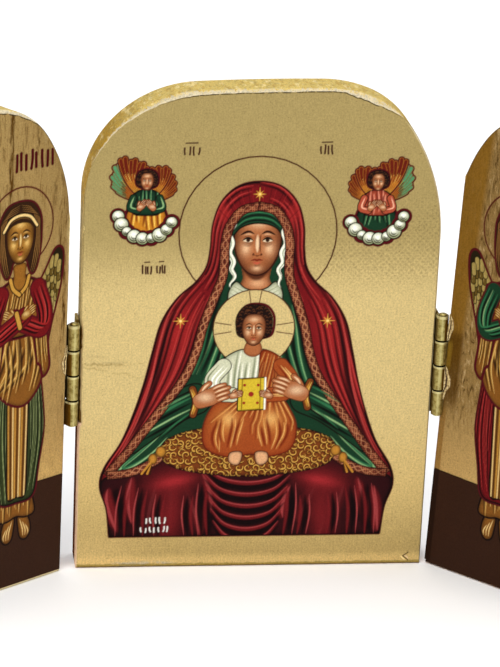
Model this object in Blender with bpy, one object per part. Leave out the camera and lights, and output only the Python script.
"""A small folding triptych: an arched centre board and two half-arch wings on brass butt hinges.

Units are metres, +Z is up and -Y is the painted front. The origin is the middle of the centre
board's underside. The wings stand partly folded forward, each turned about its own hinge pin.
"""

import math

import bmesh
import bpy
from mathutils import Matrix, Vector

# Boards
PANEL_WIDTH = 0.0985
PANEL_HEIGHT = 0.140
BOARD_THICKNESS = 0.0108
# The hand-sawn arches, as (radius, turn in degrees) from a springing up towards the crown
CENTRE_RIGHT_ARCS = ((0.056, 33.0), (0.025, 35.0), (0.034, 22.0))
CENTRE_LEFT_ARCS = ((0.030, 45.0), (0.0335, 42.0))
WING_ARCS = ((0.042, 36.0), (0.0243, 44.5))
ARC_STEP = 3.5  # degrees turned by one facet of an arc
CROWN_STEPS = 8
ARRIS_RADIUS = 0.0006  # the softened edges of every board
ARRIS_STEPS = 2
MEETING_GAP = 0.0005  # between the two wings when they are shut
# Each wing's hinged edge leans: where it starts on the underside, and how far out it moves for
# each unit of height
LEFT_EDGE_START = 0.0007
LEFT_EDGE_LEAN = -0.0108
RIGHT_EDGE_START = -0.0034
RIGHT_EDGE_LEAN = 0.0446
EDGE_EASE = 0.0025  # how far below the arch the hinged edge ends, so that the two run together
RIGHT_FOOT_RISE = 0.0009  # of the right wing's underside at its hinged edge, where the wing sags

# Hinges
HINGE_LENGTH = 0.0293
LEFT_HINGE_HEIGHT = 0.0584  # of the middle of each hinge
RIGHT_HINGE_HEIGHT = 0.0608
BARREL_RADIUS = 0.00165
LEAF_THICKNESS = 0.0008
LEAF_DEPTH = 0.0095  # from the pin's axis to the leaf's back edge
KNUCKLE_COUNT = 4
KNUCKLE_GAP = 0.0003
CURL_TURN = math.radians(305)  # how far the leaf is rolled round the pin
CURL_STEPS = 26
BOARD_TO_BARREL = 0.00025
AXIS_AHEAD_OF_FACE = 0.0005  # so that the shut wings lie 1 mm off the centre's face
PIN_RADIUS = 0.00074
PIN_HEAD_RADIUS = 0.00115
PIN_HEAD_HEIGHT = 0.00045
PIN_HEAD_GAP = 0.0001
PIN_SIDES = 20
RECESS_MARGIN = 0.0008  # past the ends of the hinge, where the board's edge is cut back for it

# Nails, two through each leaf
NAIL_SPACING = 0.018
NAIL_DEPTH = 0.0060  # from the pin's axis, along the leaf
NAIL_SHANK_RADIUS = 0.0004
NAIL_HEAD_RADIUS = 0.00115
NAIL_HEAD_HEIGHT = 0.00035
NAIL_LENGTH = 0.0062
NAIL_CLEARANCE = 0.0001
NAIL_SIDES = 14

# How far each wing is folded forward of the centre board's plane
LEFT_FOLD = math.radians(36.5)
RIGHT_FOLD = math.radians(46.8)

SIDE_GAP = 2 * (BARREL_RADIUS + BOARD_TO_BARREL)  # between a wing's edge and the centre's
HALF_WIDTH = PANEL_WIDTH / 2
AXIS_X = HALF_WIDTH + SIDE_GAP / 2
AXIS_Y = -BOARD_THICKNESS / 2 - AXIS_AHEAD_OF_FACE
HINGE_BOTTOM = -HINGE_LENGTH / 2  # a hinge is drawn about its own middle
SLOT_HEIGHT = HINGE_LENGTH / KNUCKLE_COUNT
# Counted from the bottom of the hinge
WING_KNUCKLES = (0, 2)
CENTRE_KNUCKLES = (1, 3)


def clear_scene():
    """Remove whatever the file opened with."""
    for thing in list(bpy.data.objects):
        bpy.data.objects.remove(thing, do_unlink=True)


def make_material(name, colour, roughness, metallic):
    """A Principled material of one colour."""
    material = bpy.data.materials.new(name)
    material.use_nodes = True
    shader = material.node_tree.nodes["Principled BSDF"]
    shader.inputs["Base Color"].default_value = (*colour, 1.0)
    shader.inputs["Roughness"].default_value = roughness
    shader.inputs["Metallic"].default_value = metallic
    return material


def add_object(name, mesh, material, parent=None):
    """Link a mesh as a named object with one material."""
    thing = bpy.data.objects.new(name, mesh)
    bpy.context.scene.collection.objects.link(thing)
    thing.parent = parent
    if material is not None:
        mesh.materials.append(material)
    return thing


def add_empty(name, location, turn=0.0):
    """An empty on a hinge axis, which carries what turns with it."""
    empty = bpy.data.objects.new(name, None)
    bpy.context.scene.collection.objects.link(empty)
    empty.location = location
    empty.rotation_euler = (0.0, 0.0, turn)
    return empty


def mesh_from(name, work):
    """Turn a bmesh into mesh data with outward normals."""
    bmesh.ops.recalc_face_normals(work, faces=work.faces)
    mesh = bpy.data.meshes.new(name)
    work.to_mesh(mesh)
    work.free()
    return mesh


def arc(centre, radius, start, end, steps):
    """Points along a circular arc, both ends included."""
    return [
        (
            centre[0] + radius * math.cos(start + (end - start) * i / steps),
            centre[1] + radius * math.sin(start + (end - start) * i / steps),
        )
        for i in range(steps + 1)
    ]


def climb(arcs):
    """Walk from a springing up through arcs that are tangent to each other, turning inwards.

    arcs is a list of (radius, degrees turned). The points are (inwards, up) from the springing,
    and the angle turned altogether comes back with them.
    """
    points = [(0.0, 0.0)]
    turned = 0.0
    for radius, degrees in arcs:
        inwards, up = points[-1]
        centre = (inwards + radius * math.cos(turned), up - radius * math.sin(turned))
        after = turned + math.radians(degrees)
        steps = max(3, round(degrees / ARC_STEP))
        points += arc(centre, radius, math.pi - turned, math.pi - after, steps)[1:]
        turned = after
    return points, turned


def crown_between(right, left, right_turn, left_turn, width):
    """The points of the crown arc that joins two climbed shoulders, with x leftwards from 0.

    It is tangent to both, so its radius is the span that is left over, divided by the sum of the
    cosines of the two turns.
    """
    span = width - right[-1][0] - left[-1][0]
    radius = span / (math.cos(right_turn) + math.cos(left_turn))
    inwards, up = right[-1]
    centre = (inwards + radius * math.cos(right_turn), up - radius * math.sin(right_turn))
    return arc(centre, radius, math.pi - right_turn, left_turn, CROWN_STEPS)[1:]


def centre_outline():
    """The whole arched outline, counter-clockwise as (x, z)."""
    right, right_turn = climb(CENTRE_RIGHT_ARCS)
    left, left_turn = climb(CENTRE_LEFT_ARCS)
    crown = crown_between(right, left, right_turn, left_turn, PANEL_WIDTH)
    drop = crown[-1][1] - left[-1][1]
    others = [(PANEL_WIDTH - inwards, up + drop) for inwards, up in reversed(left[:-1])]
    arch = [*right, *crown, *others]
    lift = PANEL_HEIGHT - max(up for _, up in arch)
    top = [(HALF_WIDTH - inwards, up + lift) for inwards, up in arch]
    return [(HALF_WIDTH, 0.0), *top, (-HALF_WIDTH, 0.0)]


def wing_outline(edge_start, edge_lean, foot_rise=0.0):
    """Half an arched board as (x, z), with x measured outwards from the hinge's side.

    The hinged edge starts at edge_start on the underside and moves outwards by edge_lean for
    every unit of height, until it meets the arch. The underside there is foot_rise higher than
    at the meeting edge, which stands on the ground.
    """
    shoulder, turned = climb(WING_ARCS)
    crown = crown_between(shoulder, shoulder, turned, turned, PANEL_WIDTH)
    arch = shoulder + [point for point in crown if point[0] < HALF_WIDTH]
    lift = PANEL_HEIGHT - max(up for _, up in crown)
    arch = [(outwards, up + lift) for outwards, up in arch]
    kept = [(x, z) for x, z in arch[1:] if x > edge_start + edge_lean * z + ARRIS_RADIUS / 2]
    joint = min(z for _, z in kept) - EDGE_EASE
    edge = [(edge_start, foot_rise), (edge_start + edge_lean * joint, joint)]
    width = HALF_WIDTH - MEETING_GAP / 2
    return [*edge, *kept, (width, PANEL_HEIGHT), (width, 0.0)]


def board_mesh(name, outline, front, side=1.0, shift=0.0):
    """A flat board: the outline at the front plane, carried back by the board's thickness."""
    work = bmesh.new()
    corners = [work.verts.new((side * (x + shift), front, z)) for x, z in outline]
    face = work.faces.new(corners)
    carried = bmesh.ops.extrude_face_region(work, geom=[face])
    back = [item for item in carried["geom"] if isinstance(item, bmesh.types.BMVert)]
    bmesh.ops.translate(work, verts=back, vec=(0.0, BOARD_THICKNESS, 0.0))
    return mesh_from(name, work)


def soften_edges(board):
    """Round the arrises, and leave the facets of the arch alone."""
    bevel = board.modifiers.new("arris", "BEVEL")
    bevel.width = ARRIS_RADIUS
    bevel.segments = ARRIS_STEPS
    bevel.limit_method = "ANGLE"
    bevel.angle_limit = math.radians(40)
    board.data.shade_smooth()
    board.data.set_sharp_from_angle(angle=math.radians(30))


def cut(target, cutter):
    """Cut one mesh object from another, with the cutter kept as a hidden guide."""
    cutter.hide_render = True
    cutter.display_type = "WIRE"
    boolean = target.modifiers.new("cut " + cutter.name, "BOOLEAN")
    boolean.operation = "DIFFERENCE"
    boolean.solver = "EXACT"
    boolean.object = cutter


def hinge_recess(name, parent, side, middle):
    """Cutter for the shallow recess that receives a leaf where the board's edge leans past it."""
    half_length = HINGE_LENGTH / 2 + RECESS_MARGIN
    work = bmesh.new()
    bmesh.ops.create_cube(work, size=1.0)
    depth = LEAF_DEPTH + RECESS_MARGIN + BARREL_RADIUS
    size = Matrix.Diagonal((SIDE_GAP, depth, 2 * half_length, 1.0))
    centre = Vector((0.0, depth / 2 - BARREL_RADIUS, middle))
    work.transform(Matrix.Translation(centre) @ size)
    return add_object(name, mesh_from(name, work), None, parent)


def nail_heights(middle):
    """Heights of the two nails of a leaf, about the middle of its hinge."""
    return [middle + step * NAIL_SPACING / 2 for step in (-1, 1)]


def turned_mesh(name, profile, sides):
    """A solid of revolution about X: profile is a list of (x, radius), ending on the axis."""
    work = bmesh.new()
    rings = []
    for x, radius in profile:
        if radius == 0.0:
            rings.append([work.verts.new((x, 0.0, 0.0))])
            continue
        turns = [2 * math.pi * i / sides for i in range(sides)]
        rings.append([
            work.verts.new((x, radius * math.cos(a), radius * math.sin(a))) for a in turns
        ])
    for first, second in zip(rings, rings[1:]):
        for i in range(sides):
            j = (i + 1) % sides
            if len(first) == 1:
                work.faces.new((first[0], second[i], second[j]))
            elif len(second) == 1:
                work.faces.new((first[i], first[j], second[0]))
            else:
                work.faces.new((first[i], first[j], second[j], second[i]))
    return mesh_from(name, work)


def nail_bore(name, parent, side, middle):
    """Cutters for both nails of a leaf, a little wider and longer than the shanks."""
    radius = NAIL_SHANK_RADIUS + NAIL_CLEARANCE
    start = BARREL_RADIUS - LEAF_THICKNESS - NAIL_CLEARANCE
    end = start + NAIL_LENGTH + 3 * NAIL_CLEARANCE
    profile = [(start, 0.0), (start, radius), (end, radius), (end, 0.0)]
    cutters = []
    for number, height in enumerate(nail_heights(middle), 1):
        bore = add_object(f"{name}_{number}", turned_mesh(name, profile, NAIL_SIDES), None, parent)
        bore.location = (0.0, NAIL_DEPTH, height)
        bore.rotation_euler = (0.0, 0.0, 0.0 if side > 0 else math.pi)
        cutters.append(bore)
    return cutters


def add_nails(name, parent, side, middle, material):
    """Two round-headed nails whose heads sit on the leaf and whose shanks go into the board."""
    seat = BARREL_RADIUS - LEAF_THICKNESS - NAIL_CLEARANCE
    dome = 0.6 * NAIL_HEAD_RADIUS
    profile = [
        (seat - NAIL_HEAD_HEIGHT, 0.0),
        (seat - NAIL_HEAD_HEIGHT, dome),
        (seat - 0.45 * NAIL_HEAD_HEIGHT, NAIL_HEAD_RADIUS),
        (seat, NAIL_HEAD_RADIUS),
        (seat, NAIL_SHANK_RADIUS),
        (seat + 0.85 * NAIL_LENGTH, NAIL_SHANK_RADIUS),
        (seat + NAIL_LENGTH, 0.0),
    ]
    for number, height in enumerate(nail_heights(middle), 1):
        mesh = turned_mesh(name, profile, NAIL_SIDES)
        mesh.shade_smooth()
        mesh.set_sharp_from_angle(angle=math.radians(35))
        nail = add_object(f"{name}_{number}", mesh, material, parent)
        nail.location = (0.0, NAIL_DEPTH, height)
        nail.rotation_euler = (0.0, 0.0, 0.0 if side > 0 else math.pi)


def curl_path():
    """Stations round the pin as (outer point, inner point) in plan, starting at the leaf."""
    inner_radius = BARREL_RADIUS - LEAF_THICKNESS
    stations = []
    for i in range(CURL_STEPS + 1):
        turn = -CURL_TURN * i / CURL_STEPS
        direction = Vector((math.cos(turn), math.sin(turn)))
        stations.append((direction * BARREL_RADIUS, direction * inner_radius))
    return stations


def leaf_mesh(name, side, knuckles):
    """One hinge leaf: a flat plate whose front edge is rolled round the pin at its knuckles.

    The plate is a box that is cut into levels, and each knuckle is the plate's own front edge
    carried along the curl, so that the leaf is one closed body.
    """
    inner_x = BARREL_RADIUS - LEAF_THICKNESS
    plate_front = BARREL_RADIUS + KNUCKLE_GAP
    levels = [(0.0, None)]
    for slot in range(KNUCKLE_COUNT):
        if slot in knuckles:
            low = slot * SLOT_HEIGHT + (KNUCKLE_GAP / 2 if slot else 0.0)
            high = (slot + 1) * SLOT_HEIGHT - (KNUCKLE_GAP / 2 if slot < KNUCKLE_COUNT - 1 else 0.0)
            levels += [(low, "knuckle"), (high, None)]
    levels.append((HINGE_LENGTH, None))
    heights = []
    for height, _ in levels:
        if not heights or height - heights[-1] > 1e-6:
            heights.append(height)
    starts = {round(height, 7) for height, kind in levels if kind}

    work = bmesh.new()

    def ring(height, points):
        return [work.verts.new((side * x, y, HINGE_BOTTOM + height)) for x, y in points]

    plate = [(inner_x, plate_front), (BARREL_RADIUS, plate_front),
             (BARREL_RADIUS, LEAF_DEPTH), (inner_x, LEAF_DEPTH)]
    rows = [ring(height, plate) for height in heights]
    work.faces.new(rows[0])
    work.faces.new(rows[-1])
    for low, high, height in zip(rows, rows[1:], heights):
        for i, j in ((1, 2), (2, 3), (3, 0)):
            work.faces.new((low[i], low[j], high[j], high[i]))
        if round(height, 7) not in starts:
            work.faces.new((low[0], low[1], high[1], high[0]))
            continue
        top = high[0].co.z - HINGE_BOTTOM
        last = (low[0], low[1], high[1], high[0])
        for outer, inner in curl_path():
            bottom_pair = ring(height, [inner, outer])
            top_pair = ring(top, [outer, inner])
            section = (*bottom_pair, *top_pair)
            for i in range(4):
                j = (i + 1) % 4
                work.faces.new((last[i], last[j], section[j], section[i]))
            last = section
        work.faces.new(last)
    mesh = mesh_from(name, work)
    mesh.shade_smooth()
    mesh.set_sharp_from_angle(angle=math.radians(35))
    return mesh


def pin_mesh(name):
    """The hinge pin, upright about its own middle, with a small domed head at each end."""
    reach = HINGE_LENGTH / 2 + PIN_HEAD_GAP
    half = [
        (reach, PIN_RADIUS),
        (reach, PIN_HEAD_RADIUS),
        (reach + 0.5 * PIN_HEAD_HEIGHT, PIN_HEAD_RADIUS),
        (reach + PIN_HEAD_HEIGHT, 0.6 * PIN_HEAD_RADIUS),
        (reach + PIN_HEAD_HEIGHT, 0.0),
    ]
    profile = [(-x, radius) for x, radius in reversed(half)] + half
    mesh = turned_mesh(name, profile, PIN_SIDES)
    mesh.transform(Matrix.Rotation(-math.pi / 2, 4, "Y"))
    mesh.shade_smooth()
    mesh.set_sharp_from_angle(angle=math.radians(35))
    return mesh


def add_leaf(name, side, knuckles, material, parent, middle):
    """One leaf at the height of its hinge."""
    leaf = add_object(name, leaf_mesh(name, side, knuckles), material, parent)
    leaf.location = (0.0, 0.0, middle)
    return leaf


def build_wing(side_name, side, fold, middle, outline, centre_board, gilt, brass):
    """One wing with its hinge. side is -1 for the left wing and +1 for the right."""
    place = (side * AXIS_X, AXIS_Y, 0.0)
    fixed = add_empty(f"{side_name}_hinge_place", place)
    turning = add_empty(f"{side_name}_hinge_axis", place, turn=-side * fold)

    name = f"{side_name}_wing"
    board = board_mesh(name, outline, AXIS_AHEAD_OF_FACE, side, SIDE_GAP / 2)
    wing = add_object(name, board, gilt, turning)
    soften_edges(wing)
    if outline[0][0] < 0.0:
        cut(wing, hinge_recess(f"{side_name}_hinge_recess", turning, side, middle))

    hinge = f"{side_name}_hinge"
    wing_leaf = add_leaf(f"{hinge}_wing_leaf", side, WING_KNUCKLES, brass, turning, middle)
    centre_leaf = add_leaf(f"{hinge}_centre_leaf", -side, CENTRE_KNUCKLES, brass, fixed, middle)
    for bore in nail_bore(f"{side_name}_wing_nail_bore", turning, side, middle):
        cut(wing, bore)
        cut(wing_leaf, bore)
    for bore in nail_bore(f"{side_name}_centre_nail_bore", fixed, -side, middle):
        cut(centre_board, bore)
        cut(centre_leaf, bore)
    add_nails(f"{side_name}_wing_nail", turning, side, middle, brass)
    add_nails(f"{side_name}_centre_nail", fixed, -side, middle, brass)
    pin = add_object(f"{hinge}_pin", pin_mesh(f"{hinge}_pin"), brass, fixed)
    pin.location = (0.0, 0.0, middle)


def main():
    """Build the centre board, then each wing on its hinge."""
    clear_scene()
    gilt = make_material("gilded_wood", (0.62, 0.47, 0.20), 0.42, 0.6)
    brass = make_material("brass", (0.72, 0.60, 0.30), 0.28, 1.0)
    board = board_mesh("centre_panel", centre_outline(), -BOARD_THICKNESS / 2)
    centre = add_object("centre_panel", board, gilt)
    soften_edges(centre)
    left = wing_outline(LEFT_EDGE_START, LEFT_EDGE_LEAN)
    right = wing_outline(RIGHT_EDGE_START, RIGHT_EDGE_LEAN, RIGHT_FOOT_RISE)
    build_wing("left", -1.0, LEFT_FOLD, LEFT_HINGE_HEIGHT, left, centre, gilt, brass)
    build_wing("right", 1.0, RIGHT_FOLD, RIGHT_HINGE_HEIGHT, right, centre, gilt, brass)


main()
